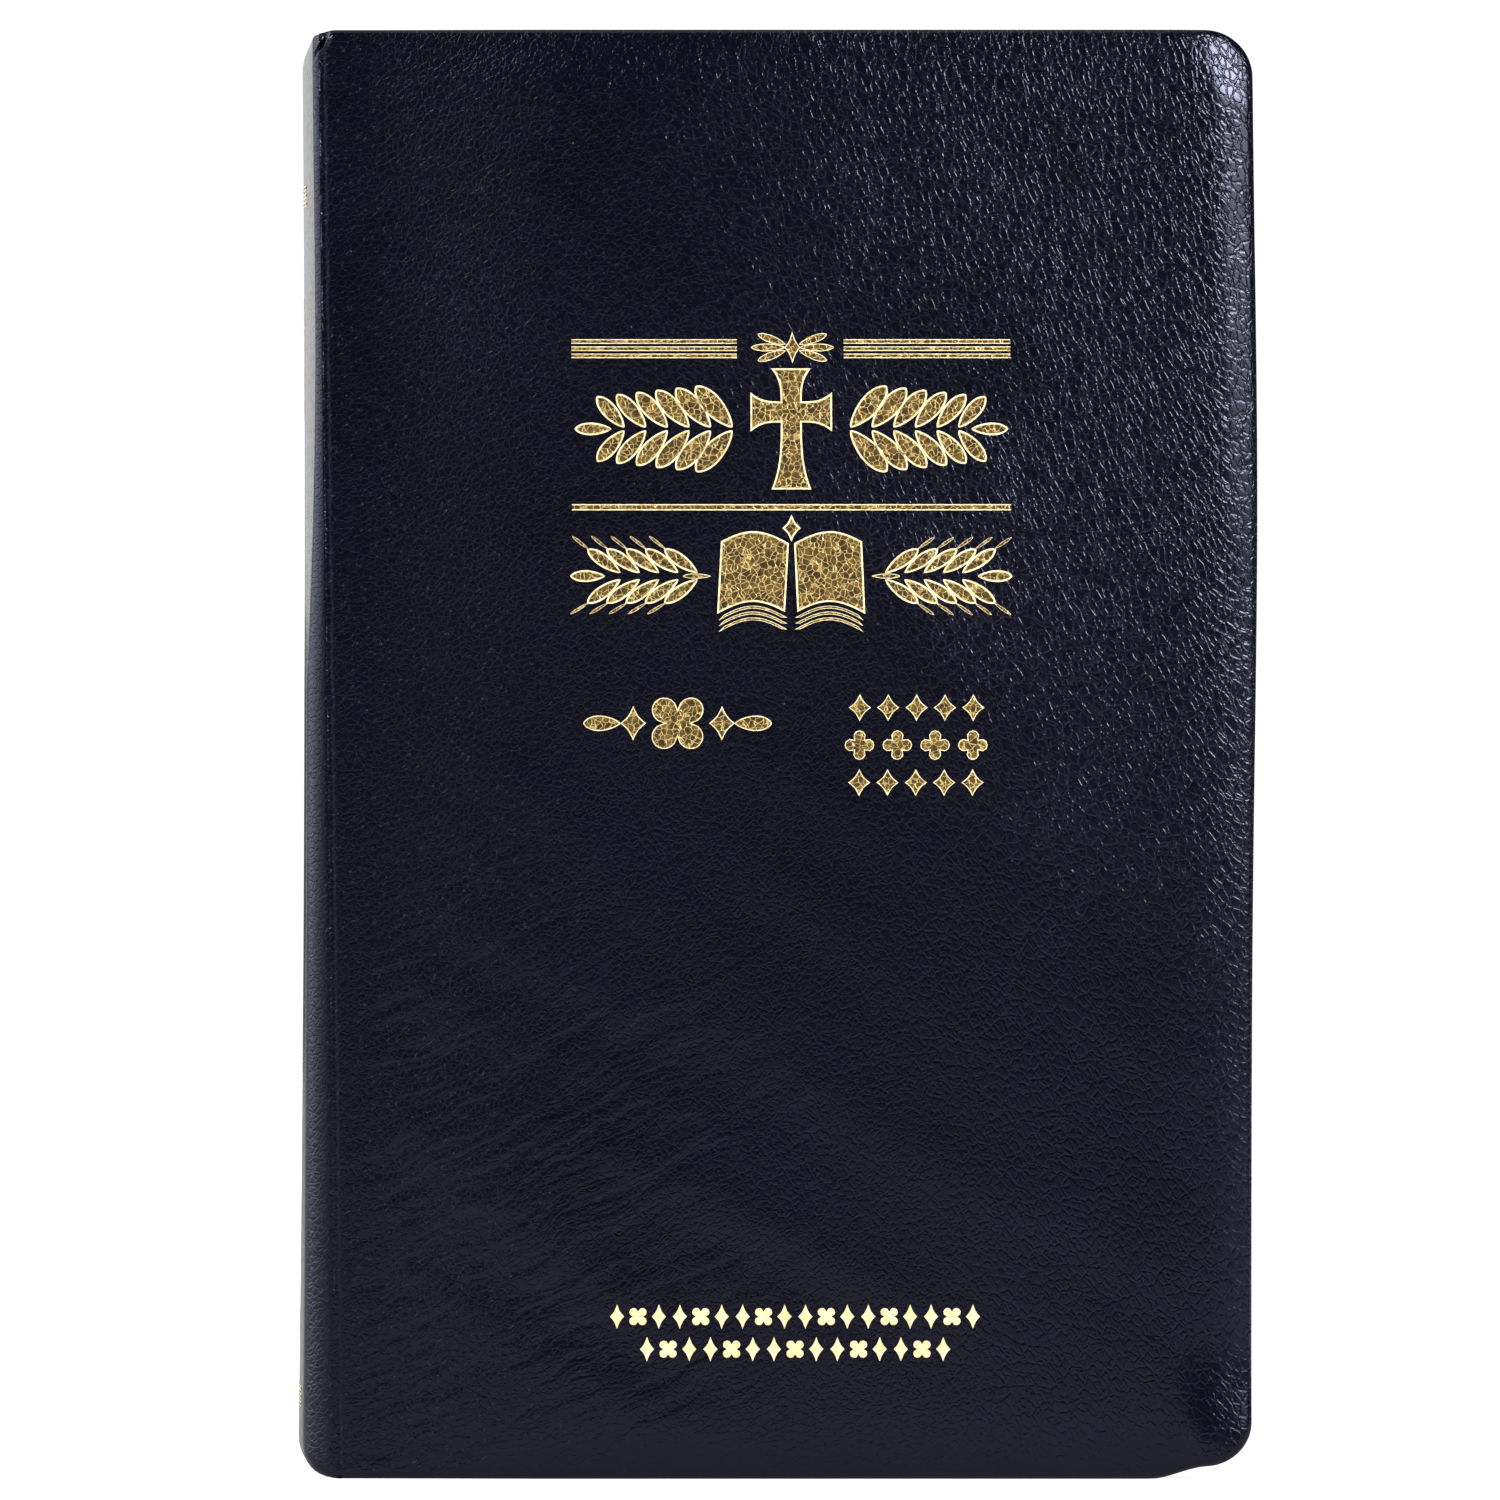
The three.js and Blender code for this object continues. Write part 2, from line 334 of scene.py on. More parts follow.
def apply_modifier(piece, kind, **settings):
    only(piece)
    modifier = piece.modifiers.new(kind.title(), kind)
    for key, value in settings.items():
        setattr(modifier, key, value)
    bpy.ops.object.modifier_apply(modifier=modifier.name)
    return piece


def give(piece, *materials):
    """Set the finishes in order, and leave each face with the slot that it has."""
    slots = piece.data.materials
    for index, material in enumerate(materials):
        if index < len(slots):
            slots[index] = material
        else:
            slots.append(material)
    return piece


def stations(*spans):
    """Places along an edge: each span is (start, end, how many, crowding towards the start)."""
    places = [spans[0][0]]
    for start, end, count, power in spans:
        places += [mix(start, end, ((k + 1) / count) ** power) for k in range(count)]
    return places


def round_corner(a, b):
    """The corner square of a grid, drawn in so that its outer corner lies on a quarter circle."""
    return a * math.sqrt(1 - b * b / 2), b * math.sqrt(1 - a * a / 2)


def sheet(name, columns, rows, radius, depth=0.0):
    """A flat sheet facing outwards, with its two fore-edge corners rounded."""
    bpy.ops.mesh.primitive_grid_add(
        x_subdivisions=len(columns) - 1,
        y_subdivisions=len(rows) - 1,
        size=1,
        rotation=(math.pi / 2, 0, 0),
    )
    piece = named(name)
    far, tail, head = columns[-1] - radius, rows[0] + radius, rows[-1] - radius
    for vertex in piece.data.vertices:
        x = columns[round((vertex.co.x + 0.5) * (len(columns) - 1))]
        z = rows[round((vertex.co.z + 0.5) * (len(rows) - 1))]
        if x > far and (z > head or z < tail):
            centre = head if z > head else tail
            a, b = round_corner((x - far) / radius, (z - centre) / radius)
            x, z = far + a * radius, centre + b * radius
        vertex.co = (x, depth, z)
    return piece


def write_flat(piece, points=None):
    """Keep each point's place on the flat sheet, in metres, as the sheet's own UV map."""
    mesh = piece.data
    layer = mesh.uv_layers.get("flat") or mesh.uv_layers.new(name="flat")
    points = points or [vertex.co.copy() for vertex in mesh.vertices]
    for loop in mesh.loops:
        point = points[loop.vertex_index]
        layer.data[loop.index].uv = (point.x * MM, point.z * MM)


# ---------------------------------------------------------------- leather
def rim_point(base, outwards, box):
    """A point of a rounded outline, moved out (or in, where outwards is under 0)."""
    start, far, tail, head, radius = box
    low, high, side = tail + radius, head - radius, far - radius
    reach = max(radius + outwards, 0.5)
    shift = reach - (radius + outwards)
    x, z = base.x, base.z
    if x > side + 1e-4 and (z > high + 1e-4 or z < low - 1e-4):
        towards = 1 if z > high else -1
        centre = Vector((side, 0, high if z > high else low))
        normal = (base - centre) / radius
        centre -= Vector((shift, 0, towards * shift))
        return centre + normal * reach, normal
    if x > far - 1e-4:
        z = mix(low + shift, high - shift, (z - low) / (high - low))
        return Vector((x + outwards, 0, z)), Vector((1, 0, 0))
    towards = 1 if z > (head + tail) / 2 else -1
    x = mix(start, side - shift, (x - start) / (side - start))
    return Vector((x, 0, z + towards * outwards)), Vector((0, 0, towards))


def select_open_edges(piece, start):
    """The head, tail and fore edges of a sheet, and not the edge it starts from."""
    mesh = piece.data
    uses = {}
    for face in mesh.polygons:
        for key in face.edge_keys:
            uses[key] = uses.get(key, 0) + 1
    for item in (*mesh.vertices, *mesh.polygons, *mesh.edges):
        item.select = False
    for edge in mesh.edges:
        ends = [mesh.vertices[i] for i in edge.vertices]
        on_start = all(abs(end.co.x - start) < 1e-3 for end in ends)
        if uses[edge.key] == 1 and not on_start:
            edge.select = True
            for end in ends:
                end.select = True


def extrude_rim(piece, box, steps):
    """Turn the leather over the edge: each step is (outwards, depth, run along the leather)."""
    mesh = piece.data
    rest = mesh.attributes.new("rest", "FLOAT_VECTOR", "POINT")
    flat = mesh.attributes.new("unrolled", "FLOAT_VECTOR", "POINT")
    for vertex in mesh.vertices:
        rest.data[vertex.index].vector = vertex.co
        flat.data[vertex.index].vector = vertex.co
    only(piece)
    for outwards, depth, run in steps:
        bpy.ops.object.mode_set(mode="EDIT")
        bpy.context.tool_settings.mesh_select_mode = (False, True, False)
        bpy.ops.mesh.extrude_edges_move()
        bpy.ops.object.mode_set(mode="OBJECT")
        rest = mesh.attributes["rest"].data
        flat = mesh.attributes["unrolled"].data
        for vertex in mesh.vertices:
            if vertex.select:
                base = rest[vertex.index].vector
                place, normal = rim_point(base, outwards, box)
                vertex.co = (place.x, depth, place.z)
                flat[vertex.index].vector = base + normal * run
    write_flat(piece, [point.vector.copy() for point in mesh.attributes["unrolled"].data])
    for name in ("rest", "unrolled"):
        mesh.attributes.remove(mesh.attributes[name])


def case_leather(side):
    """The leather of one cover and half the spine, turned in at head, tail and fore edge."""
    roll, far = EDGE_ROLL, FACE_WIDTH - EDGE_ROLL
    radius = CORNER - roll
    tail, head = roll, HEIGHT - roll
    columns = stations(
        (0, -SPINE_HALF, 34, 1.7),
    )[::-1] + stations(
        (0, 3, 12, 1), (3, 10, 8, 1),
        (10, far - radius, round((far - radius - 10) / GRID_STEP), 1), (far - radius, far, 10, 1),
    )[1:]
    rows = stations(
        (tail, tail + radius, 11, 1),
        (tail + radius, head - radius, round((head - tail - 2 * radius) / GRID_STEP), 1),
        (head - radius, head, 22, 1),
    )
    piece = sheet(f"{SIDE_NAMES[side]}_case_leather", columns, rows, radius)
    select_open_edges(piece, -SPINE_HALF)
    turns = [math.pi * (k + 1) / 8 for k in range(8)]
    steps = [(roll * math.sin(a), roll * (1 - math.cos(a)), roll * a) for a in turns]
    inwards = (1, 2, 3, 4, 5, 6, 8, 10, TURN_IN - roll)
    steps += [(-t, CASE_THICKNESS, roll * math.pi + t) for t in inwards]
    extrude_rim(piece, (-SPINE_HALF, far, tail, head, radius), steps)
    thickness = piece.vertex_groups.new(name="thickness")
    for vertex in piece.data.vertices:
        turned = ease(vertex.co.y / CASE_THICKNESS)
        thickness.add([vertex.index], mix(1, 0.45, turned), "REPLACE")
    apply_modifier(
        piece, "SOLIDIFY", thickness=LEATHER, offset=-1,
        vertex_group="thickness", thickness_vertex_group=0, use_rim=True,
    )
    piece.vertex_groups.clear()
    tuck_spine_turn_in(piece)
    lay(piece, on_case, side)
    return smooth(piece, 50)


def tuck_spine_turn_in(piece):
    """Over the spine the turn-in is short, so that it stays clear of the inlay."""
    for vertex in piece.data.vertices:
        place = vertex.co
        if place.x < 0 and place.y > 1:
            middle = HEIGHT / 2
            reach = abs(place.z - middle) - (middle - EDGE_ROLL)
            if reach < 0:
                place.z += math.copysign(-reach * 0.86, place.z - middle)


# ---------------------------------------------------------------- paper
def leaf_sheet(name, first, last, low, high, depth, thickness, *finishes):
    radius = PAPER_CORNER
    gutter = first + 14
    columns = stations(
        (first, gutter, 10, 1.3), (gutter, last - radius, 12, 1), (last - radius, last, 5, 1),
    )
    rows = stations(
        (low, low + radius, 5, 1), (low + radius, high - radius, 18, 1),
        (high - radius, high, 5, 1),
    )
    piece = give(sheet(name, columns, rows, radius, depth), *finishes)
    write_flat(piece)
    return apply_modifier(
        piece, "SOLIDIFY", thickness=thickness, offset=-1, use_rim=True,
        material_offset_rim=1,
    )


def board(side):
    """The flexible card under the leather, shaped with the limp cover."""
    name = f"{SIDE_NAMES[side]}_cover_board"
    low, high = (in_mm(corner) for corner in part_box(name))
    depth = HALF - max(abs(low.y), abs(high.y))
    first, last, radius = low.x - JOINT_X, high.x - JOINT_X, CORNER - 1
    columns = stations(
        (first, last - 16, 40, 1), (last - 16, last - radius, 8, 1), (last - radius, last, 6, 1),
    )
    rows = stations(
        (low.z, low.z + radius, 6, 1), (low.z + radius, high.z - radius, 60, 1),
        (high.z - radius, high.z, 6, 1),
    )
    piece = sheet(f"{SIDE_NAMES[side]}_card", columns, rows, radius, depth)
    apply_modifier(piece, "SOLIDIFY", thickness=high.y - low.y, offset=-1, use_rim=True)
    return smooth(lay(piece, in_block, side), 30)


def pastedown(side):
    """Glued over the turn-ins, it shows their edge as a low step."""
    low, high = PASTEDOWN_LOW, PASTEDOWN_HIGH
    depth, thickness = low.y + HALF, high.y - low.y
    name = f"{SIDE_NAMES[side]}_endpaper"
    last, radius, step = high.x - JOINT_X, PAPER_CORNER, TURN_IN
    columns = stations(
        (0.3, 6, 6, 1), (6, last - 12, 60, 1), (last - 12, last - radius, 8, 1),
        (last - radius, last, 5, 1),
    )
    rows = stations(
        (low.z, low.z + radius, 5, 1), (low.z + radius, low.z + step, 10, 1),
        (low.z + step, high.z - step, 60, 1), (high.z - step, high.z - radius, 10, 1),
        (high.z - radius, high.z, 5, 1),
    )
    piece = sheet(name, columns, rows, radius, depth)
    write_flat(piece)
    for vertex in piece.data.vertices:
        x, z = vertex.co.x, vertex.co.z
        edge = min(FACE_WIDTH - x, z, HEIGHT - z) - TURN_IN
        vertex.co.y -= PASTEDOWN_SINK * ease(edge / 0.9 + 0.5)
    apply_modifier(piece, "SOLIDIFY", thickness=thickness, offset=-1, use_rim=True)
    return smooth(lay(piece, in_block, side))


def flyleaf(side):
    low, high = (in_mm(corner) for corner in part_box(f"{SIDE_NAMES[side]}_flyleaf"))
    depth = HALF - max(abs(low.y), abs(high.y))
    piece = leaf_sheet(
        f"{SIDE_NAMES[side]}_free_endpaper", low.x - JOINT_X, high.x - JOINT_X,
        low.z, high.z, depth, high.y - low.y, ENDPAPER,
    )
    return smooth(lay(piece, in_block, side))


def section_leaves(node):
    """The leaves of one section: cream faces and gilt edges, reaching back to the folds."""
    low, high = (in_mm(corner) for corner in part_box(node))
    side = FRONT if low.y + high.y < 0 else BACK
    depth = HALF - max(abs(low.y), abs(high.y))
    piece = leaf_sheet(
        node.replace("section", "leaves"), SHOULDER_LINE - JOINT_X + 0.02, high.x - JOINT_X,
        low.z, high.z, depth, high.y - low.y, PAPER, GILT,
    )
    return smooth(lay(piece, in_block, side), 30), depth - (HALF - BLOCK_HALF)


# ---------------------------------------------------------------- finishes
class Value:
    """A number that changes over a surface, with the operators that the finishes use."""

    def __init__(self, finish, socket):
        self.finish = finish
        self.socket = socket

    def worked(self, operation, first, second=None):
        inputs = {0: first} if second is None else {0: first, 1: second}
        node = self.finish.node("ShaderNodeMath", {"operation": operation}, inputs)
        return Value(self.finish, node.outputs[0])

    def __add__(self, other):
        return self.worked("ADD", self, other)

    __radd__ = __add__

    def __sub__(self, other):
        return self.worked("SUBTRACT", self, other)

    def __rsub__(self, other):
        return self.worked("SUBTRACT", other, self)

    def __mul__(self, other):
        return self.worked("MULTIPLY", self, other)

    __rmul__ = __mul__

    def __truediv__(self, other):
        return self.worked("DIVIDE", self, other)

    def __gt__(self, other):
        return self.worked("GREATER_THAN", self, other)

    def __lt__(self, other):
        return self.worked("LESS_THAN", self, other)

    def __pow__(self, other):
        return self.worked("POWER", self, other)

    def __mod__(self, other):
        return self.worked("FLOORED_MODULO", self, other)

    def floor(self):
        return self.worked("FLOOR", self)

    def sine(self):
        return self.worked("SINE", self)

    def size(self):
        return self.worked("ABSOLUTE", self)

    def between(self, low, high):
        """0 under low, 1 over high, and a smooth step between them."""
        node = self.finish.node(
            "ShaderNodeMapRange", {"interpolation_type": "SMOOTHSTEP"},
            {0: self, 1: low, 2: high},
        )
        return Value(self.finish, node.outputs[0])


class Nodes:
    """The nodes of one material or of the studio's room."""

    def __init__(self, tree):
        self.tree = tree

    def feed(self, socket, value):
        if isinstance(value, Value):
            value = value.socket
        if isinstance(value, bpy.types.NodeSocket):
            self.tree.links.new(value, socket)
        else:
            socket.default_value = value

    def node(self, kind, settings=None, inputs=None):
        made = self.tree.nodes.new(kind)
        for key, value in (settings or {}).items():
            setattr(made, key, value)
        for key, value in (inputs or {}).items():
            self.feed(made.inputs[key], value)
        return made

    def parts(self, vector):
        node = self.node("ShaderNodeSeparateXYZ", inputs={0: vector})
        return [Value(self, output) for output in node.outputs]

    def drawn_out(self, vector, stretch, turn=0.0):
        """The place turned, then divided by the stretch, so that a pattern is drawn out."""
        node = self.node(
            "ShaderNodeMapping", {"vector_type": "TEXTURE"},
            {"Vector": vector, "Rotation": (0, 0, turn), "Scale": stretch},
        )
        return node.outputs[0]

    def warped(self, vector, scale, amount):
        """The place, pushed about by a noise, so that a pattern isn't regular."""
        push = self.node(
            "ShaderNodeTexNoise", inputs={"Vector": vector, "Scale": scale, "Detail": 2.0}
        )
        centred = self.node(
            "ShaderNodeVectorMath", {"operation": "SUBTRACT"},
            {0: push.outputs["Color"], 1: (0.5, 0.5, 0.5)},
        )
        scaled = self.node(
            "ShaderNodeVectorMath", {"operation": "SCALE"}, {0: centred.outputs[0], 3: amount}
        )
        added = self.node(
            "ShaderNodeVectorMath", {"operation": "ADD"}, {0: vector, 1: scaled.outputs[0]}
        )
        return added.outputs[0]

    def noise(self, vector, scale, detail=3.0, roughness=0.5):
        node = self.node(
            "ShaderNodeTexNoise",
            inputs={"Vector": vector, "Scale": scale, "Detail": detail, "Roughness": roughness},
        )
        return Value(self, node.outputs[0])

    def cells(self, vector, scale, feature="DISTANCE_TO_EDGE"):
        node = self.node(
            "ShaderNodeTexVoronoi", {"feature": feature}, {"Vector": vector, "Scale": scale}
        )
        return Value(self, node.outputs["Distance"])

    def blend(self, share, first, second):
        """Two colours mixed by a changing share."""
        node = self.node("ShaderNodeMix", {"data_type": "RGBA"}, {0: share, 6: first, 7: second})
        return node.outputs[2]


class Finish(Nodes):
    """One material: a Principled shader and the nodes that feed it."""

    def __init__(self, name, **constants):
        self.material = bpy.data.materials.new(name)
        self.material.use_nodes = True
        super().__init__(self.material.node_tree)
        self.shader = self.tree.nodes["Principled BSDF"]
        for key, value in constants.items():
            self.shader.inputs[key.replace("_", " ")].default_value = value

    def flat_place(self):
        """Where a point lies on its flat sheet, in metres."""
        return self.node("ShaderNodeUVMap", {"uv_map": "flat"}).outputs[0]

    def object_place(self):
        return self.node("ShaderNodeTexCoord").outputs["Object"]

    def without_depth(self, place):
        """The place seen square on to the front, without its depth."""
        x, _, z = self.parts(place)
        return self.node("ShaderNodeCombineXYZ", inputs={0: x, 1: z, 2: 0.0}).outputs[0]

    def bump(self, height, distance, strength=1.0):
        node = self.node(
            "ShaderNodeBump", inputs={"Height": height, "Distance": distance, "Strength": strength}
        )
        self.feed(self.shader.inputs["Normal"], node.outputs[0])

    def set(self, socket, value):
        self.feed(self.shader.inputs[socket], value)


def grain(finish, place):
    """Pebbled grain: cells about a millimetre across with sunk creases. The pebbles lie in
    slanting rows, one way near the spine and the other way near the fore edge, where they
    are also coarser. Long folds cross the lower half. Gives (height, how deep in a crease)."""
    x, z, _ = finish.parts(place)
    loose = finish.warped(place, 700, 0.0007)
    spine_side = finish.cells(finish.drawn_out(loose, (1.0, 1.3, 1.0), -0.8), 1080)
    fore_side = finish.cells(finish.drawn_out(loose, (1.0, 1.75, 1.0), 0.42), 900)
    far = (x * 7 + z * 1.6 + finish.noise(place, 30, 2.0) * 0.9).between(0.7, 1.6)
    cell = spine_side * (1 - far) + fore_side * far
    coarse = far * (0.2 + z.between(0.03, 0.17) * 0.8)
    crease = (1 - cell.between(0.0, 0.15)) * (0.3 + coarse * 0.7)
    pores = finish.noise(place, 3600, 2.0)
    specks = finish.noise(finish.drawn_out(loose, (1.0, 1.8, 1.0), -0.8), 1700, 1.0)
    specks = specks.between(0.66, 0.74) * (1 - far)
    rows = finish.drawn_out(finish.warped(place, 260, 0.003), (1.0, 2.6, 1.0), 0.45)
    row = (1 - finish.cells(rows, 430).between(0.0, 0.07)) * coarse
    folds = finish.noise(finish.drawn_out(finish.warped(place, 90, 0.006), (7, 1, 1), 0.5), 300)
    across = x.between(0.0, 0.012) * (0.1 - x).between(0.0, 0.09)
    folded = across * (0.13 - z).between(0.0, 0.09)
    height = 1 - crease * 0.52 + cell * 0.07 + pores * 0.07 + specks * 0.4 - row * 0.38
    return height + folds.between(0.35, 0.6) * folded * 0.9, crease


def leather_finish():
    finish = Finish(
        "navy_leather", Specular_IOR_Level=0.32, Specular_Tint=(0.70, 0.71, 1.0, 1)
    )
    place = finish.flat_place()
    height, crease = grain(finish, place)
    patch = finish.noise(place, 30, 3.0)
    worn = finish.noise(place, 420, 3.0, 0.6).between(0.5, 0.72)
    dark = finish.blend(patch, (0.0012, 0.0011, 0.0036, 1), (0.0026, 0.0025, 0.0070, 1))
    # Painted shade: the base colour is darkened in the creases of the grain, where shade falls.
    finish.set("Base Color", finish.blend(crease * 0.6, dark, (0.0005, 0.0005, 0.001, 1)))
    finish.set("Roughness", 0.17 + worn * 0.06 + crease * 0.05)
    finish.bump(height, 0.0001, 1.0)
    return finish.material


def foil_finish():
    """Dull gold pressed into the grain: dark in the cells, with brighter veins between."""
    finish = Finish("stamped_gold", Metallic=0.55)
    place = finish.object_place()
    flat = finish.without_depth(place)
    cell = finish.cells(finish.warped(flat, 800, 0.0009), 1050)
    vein = 1 - cell.between(0.0, 0.085)
    cloud = finish.noise(flat, 520, 3.0, 0.6).between(0.38, 0.66)
    gold = finish.blend(cloud, (0.050, 0.028, 0.006, 1), (0.19, 0.115, 0.026, 1))
    finish.set("Base Color", finish.blend(vein * 0.7, gold, (0.74, 0.54, 0.21, 1)))
    finish.set("Roughness", 0.42 - vein * 0.12)
    finish.bump(vein, 0.00008, 0.9)
    return finish.material


def foil_rim_highlight_finish():
    """The clean edge of the stamp, painted bright gold: a painted highlight for the light caught on
    the edge of the stamp.
    """
    finish = Finish("gold_edge_painted_highlight", Metallic=0.15, Roughness=0.35)
    spots = finish.noise(finish.object_place(), 1500, 2.0).between(0.3, 0.6)
    finish.set("Base Color", finish.blend(spots, (0.70, 0.52, 0.22, 1), (1.0, 0.88, 0.55, 1)))
    return finish.material


def pale_foil_finish():
    """The smaller stamps at the tail are pressed harder, so their gold is even and pale."""
    finish = Finish("pale_gold", Metallic=0.2, Roughness=0.35)
    spots = finish.noise(finish.object_place(), 900, 2.0).between(0.2, 0.7)
    finish.set("Base Color", finish.blend(spots, (0.86, 0.66, 0.27, 1), (1.0, 0.86, 0.50, 1)))
    finish.bump(spots, 0.00003, 0.6)
    return finish.material


def gilt_finish():
    """Gilded leaf edges: burnished gold with the leaves showing as fine lines."""
    finish = Finish("gilt_edge", Metallic=1.0)
    place = finish.object_place()
    across = finish.drawn_out(place, (150, 1, 150))
    leaves = finish.noise(across, 9000, 3.0, 0.6)
    rubbed = finish.noise(place, 60, 3.0).between(0.55, 0.8)
    gold = finish.blend(leaves, (0.55, 0.36, 0.12, 1), (0.92, 0.68, 0.30, 1))
    finish.set("Base Color", finish.blend(rubbed * 0.35, gold, (0.62, 0.50, 0.32, 1)))
    finish.set("Roughness", 0.24 + leaves * 0.22)
    finish.bump(leaves, 0.00005, 0.8)
    return finish.material


def printed_leaf_finish():
    """Thin cream paper with two columns of grey lines, broken like print seen from far."""
    finish = Finish("bible_paper", Roughness=0.78)
    place = finish.flat_place()
    x, z, _ = finish.parts(place)
    line = z * 1000 / 2.9
    on_line = ((line % 1.0) - 0.5).size() < 0.24
    row = line.floor()
    words_at = finish.node(
        "ShaderNodeCombineXYZ", inputs={0: x * 330, 1: row * 7.31, 2: 0.0}
    ).outputs[0]
    words = finish.noise(words_at, 1.0, 2.0, 0.7) > 0.43
    middle = (LEAF_HIGH.x - JOINT_X) / 2 * MM
    from_middle = (x - middle - 0.003).size()
    column = (from_middle > 0.0028) * (from_middle < 0.0575)
    top, bottom = (HEIGHT - 22) * MM, 20 * MM
    body = (z < top) * (z > bottom)
    rule = (from_middle < 0.00016) * body
    fibre = finish.noise(place, 900, 3.0)
    paper = finish.blend(fibre, (0.78, 0.73, 0.62, 1), (0.84, 0.80, 0.70, 1))
    ink = on_line * words * column * body * 0.62
    printed = finish.blend(ink, paper, (0.10, 0.095, 0.09, 1))
    finish.set("Base Color", finish.blend(rule * 0.7, printed, (0.12, 0.11, 0.10, 1)))
    finish.bump(fibre, 0.00002, 0.5)
    return finish.material


def endpaper_finish():
    finish = Finish("endpaper", Roughness=0.7)
    place = finish.flat_place()
    fibre = finish.noise(finish.drawn_out(place, (1.0, 2.5, 1.0)), 700, 4.0, 0.6)
    cloud = finish.noise(place, 26, 2.0)
    paper = finish.blend(cloud, (0.66, 0.60, 0.48, 1), (0.74, 0.69, 0.57, 1))
    finish.set("Base Color", finish.blend(fibre * 0.4, paper, (0.80, 0.76, 0.66, 1)))
    finish.bump(fibre, 0.00004, 0.6)
    return finish.material


def fold_finish():
    """The glued folds: section lines across the thickness, darkened in the grooves between sections
    as painted shade, with glue on top.
    """
    finish = Finish("sewn_folds", Roughness=0.6)
    place = finish.object_place()
    _, y, _ = finish.parts(place)
    pitch = (BLOCK_HALF * 2 / len(SECTIONS)) * MM
    fold = (((y / pitch) % 1.0) - 0.5).size()
    glue = finish.noise(place, 160, 3.0)
    paper = finish.blend(glue, (0.70, 0.62, 0.46, 1), (0.82, 0.76, 0.62, 1))
    # Painted shade: the paper is darkened in the grooves between the sections' folds.
    gap = fold.between(0.38, 0.5) * 0.5
    finish.set("Base Color", finish.blend(gap, paper, (0.3, 0.25, 0.18, 1)))
    finish.bump(1 - fold * 1.6, 0.0003, 0.8)
    return finish.material


def fibre_board_finish(name, light, dark):
    finish = Finish(name, Roughness=0.85)
    place = finish.object_place()
    fibre = finish.noise(finish.drawn_out(place, (1, 1, 3)), 900, 4.0, 0.65)
    finish.set("Base Color", finish.blend(fibre, dark, light))
    finish.bump(fibre, 0.00008, 0.7)
    return finish.material


def scrim_finish():
    """Open cotton cloth: two sets of threads."""
    finish = Finish("mull_cloth", Roughness=0.9)
    _, y, z = finish.parts(finish.object_place())
    warp = (y * 2 * math.pi / 0.0011).sine()
    weft = (z * 2 * math.pi / 0.0011).sine()
    thread = (warp.between(0.1, 0.9) + weft.between(0.1, 0.9)) * 0.5
    finish.set("Base Color", finish.blend(thread, (0.35, 0.30, 0.22, 1), (0.85, 0.82, 0.74, 1)))
    finish.bump(thread, 0.0002, 0.8)
    return finish.material


def thread_finish(name, light, dark):
    """Twisted thread: slanting plies, darker between them as painted shade in the grooves."""
    finish = Finish(name, Roughness=0.55)
    _, y, z = finish.parts(finish.object_place())
    ply = ((y + z * 1.4) * 2 * math.pi / 0.0006).sine().between(-0.6, 0.8)
    # Painted shade: the colour goes to the dark one in the grooves between the plies.
    finish.set("Base Color", finish.blend(ply, dark, light))
    finish.bump(ply, 0.00006, 0.8)
    return finish.material


def floor_finish():
    """White, and lit from under like a light table, so that it keeps no hard shadow."""
    finish = Finish("pale_floor", Roughness=1.0, Specular_IOR_Level=0.0)
    cloud = finish.noise(finish.object_place(), 3, 2.0)
    pale = finish.blend(cloud, (0.45, 0.45, 0.45, 1), (0.47, 0.47, 0.47, 1))
    finish.set("Base Color", pale)
    seen = finish.node("ShaderNodeLightPath").outputs["Is Camera Ray"]
    glow = finish.blend(seen, (0.05, 0.05, 0.05, 1), (0.85, 0.85, 0.85, 1))
    finish.set("Emission Color", glow)
    finish.shader.inputs["Emission Strength"].default_value = 1
    return finish.material


# ---------------------------------------------------------------- stamped ornaments
FOIL_LIFT = 0.05
FOIL_THICKNESS = 0.04
FOIL_RIM = 0.28


def on_face(x, depth, z, side=FRONT):
    """A point of an ornament drawn on the front face, in the book's own x and z."""
    place = Vector((x, -HALF + depth, z))
    place.y -= settle(x, 0.0, z, side)
    place.z += TAIL_CORNER_LIFT * corner_lift(x, z)
    place.x += bow(x, z)
    return place


def stamp(outline, count, x, z, turn=0.0, rim=FOIL_RIM, cuts=0):
    """One shape of foil: a disc drawn out to an outline, with a narrow rim face round it."""
    bpy.ops.mesh.primitive_circle_add(
        vertices=count, radius=1, fill_type="NGON", rotation=(math.pi / 2, 0, 0)
    )
    piece = named("stamp")
    points = [outline(k / count) for k in range(count)]
    cosine, sine = math.cos(turn), math.sin(turn)
    for vertex in piece.data.vertices:
        k = round(math.atan2(vertex.co.z, vertex.co.x) / (2 * math.pi) * count) % count
        a, b = points[k]
        vertex.co = (x + a * cosine - b * sine, 0, z + a * sine + b * cosine)
    bpy.ops.object.mode_set(mode="EDIT")
    bpy.context.tool_settings.mesh_select_mode = (False, False, True)
    bpy.ops.mesh.select_all(action="SELECT")
    bpy.ops.mesh.inset(thickness=rim, use_even_offset=True)
    bpy.ops.object.mode_set(mode="OBJECT")
    # The rim faces take the second finish: bright gold, a painted highlight on the stamp's edge.
    for face in piece.data.polygons:
        face.material_index = 0 if face.select else 1
    if cuts:
        bpy.ops.object.mode_set(mode="EDIT")
        bpy.ops.mesh.quads_convert_to_tris(quad_method="BEAUTY", ngon_method="BEAUTY")
        bpy.ops.mesh.subdivide(number_cuts=cuts)
        bpy.ops.object.mode_set(mode="OBJECT")
    return give(piece, FOIL, GOLD_EDGE_HIGHLIGHT)


